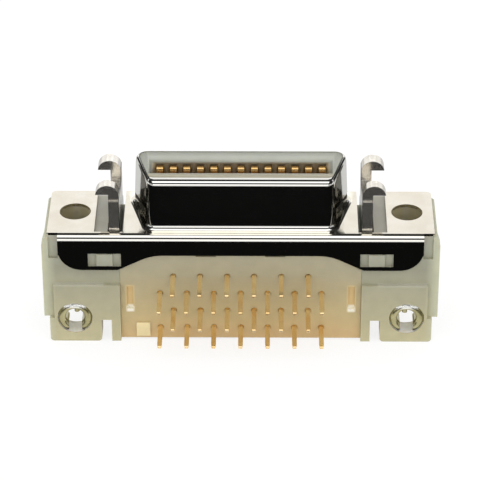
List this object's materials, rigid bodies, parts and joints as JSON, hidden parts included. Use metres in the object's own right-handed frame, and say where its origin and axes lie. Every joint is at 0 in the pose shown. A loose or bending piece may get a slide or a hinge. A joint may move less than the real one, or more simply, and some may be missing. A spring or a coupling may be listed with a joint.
{
  "type": "shielded half-pitch ribbon connector receptacle",
  "caption": "Right-angle board-mount receptacle with a D-shaped metal shroud, screw flange, two hooked latch posts, pale plastic housing and gold solder tails.",
  "frame": {"origin": "midway between the two flange screw holes, on the flange's front face", "axes": "+X along the flange, +Z the mating direction, -Y towards the circuit board"},
  "size_m": [0.0372, 0.0116, 0.0167],
  "materials": {
    "nickel_shell": "bright nickel plate",
    "nickel_latch": "bright nickel plate",
    "clip_metal": "bright tin plate",
    "housing_plastic": "slightly translucent moulded",
    "aligner_plastic": "slightly translucent moulded",
    "contact_gold": "gold plate"
  },
  "bodies": {
    "root": {"front_shell": "nickel_shell", "housing": "housing_plastic", "tail_aligner": "aligner_plastic", "latch_post_left": "nickel_latch", "latch_post_right": "nickel_latch", "board_clip_left": "clip_metal", "board_clip_right": "clip_metal", "contact_upper_1": "contact_gold", "contact_upper_2": "contact_gold", "contact_upper_3": "contact_gold", "contact_upper_4": "contact_gold", "contact_upper_5": "contact_gold", "contact_upper_6": "contact_gold", "contact_upper_7": "contact_gold", "contact_upper_8": "contact_gold", "contact_upper_9": "contact_gold", "contact_upper_10": "contact_gold", "contact_upper_11": "contact_gold", "contact_upper_12": "contact_gold", "contact_upper_13": "contact_gold", "contact_lower_1": "contact_gold", "contact_lower_2": "contact_gold", "contact_lower_3": "contact_gold", "contact_lower_4": "contact_gold", "contact_lower_5": "contact_gold", "contact_lower_6": "contact_gold", "contact_lower_7": "contact_gold", "contact_lower_8": "contact_gold", "contact_lower_9": "contact_gold", "contact_lower_10": "contact_gold", "contact_lower_11": "contact_gold", "contact_lower_12": "contact_gold", "contact_lower_13": "contact_gold"}
  },
  "joints": []
}
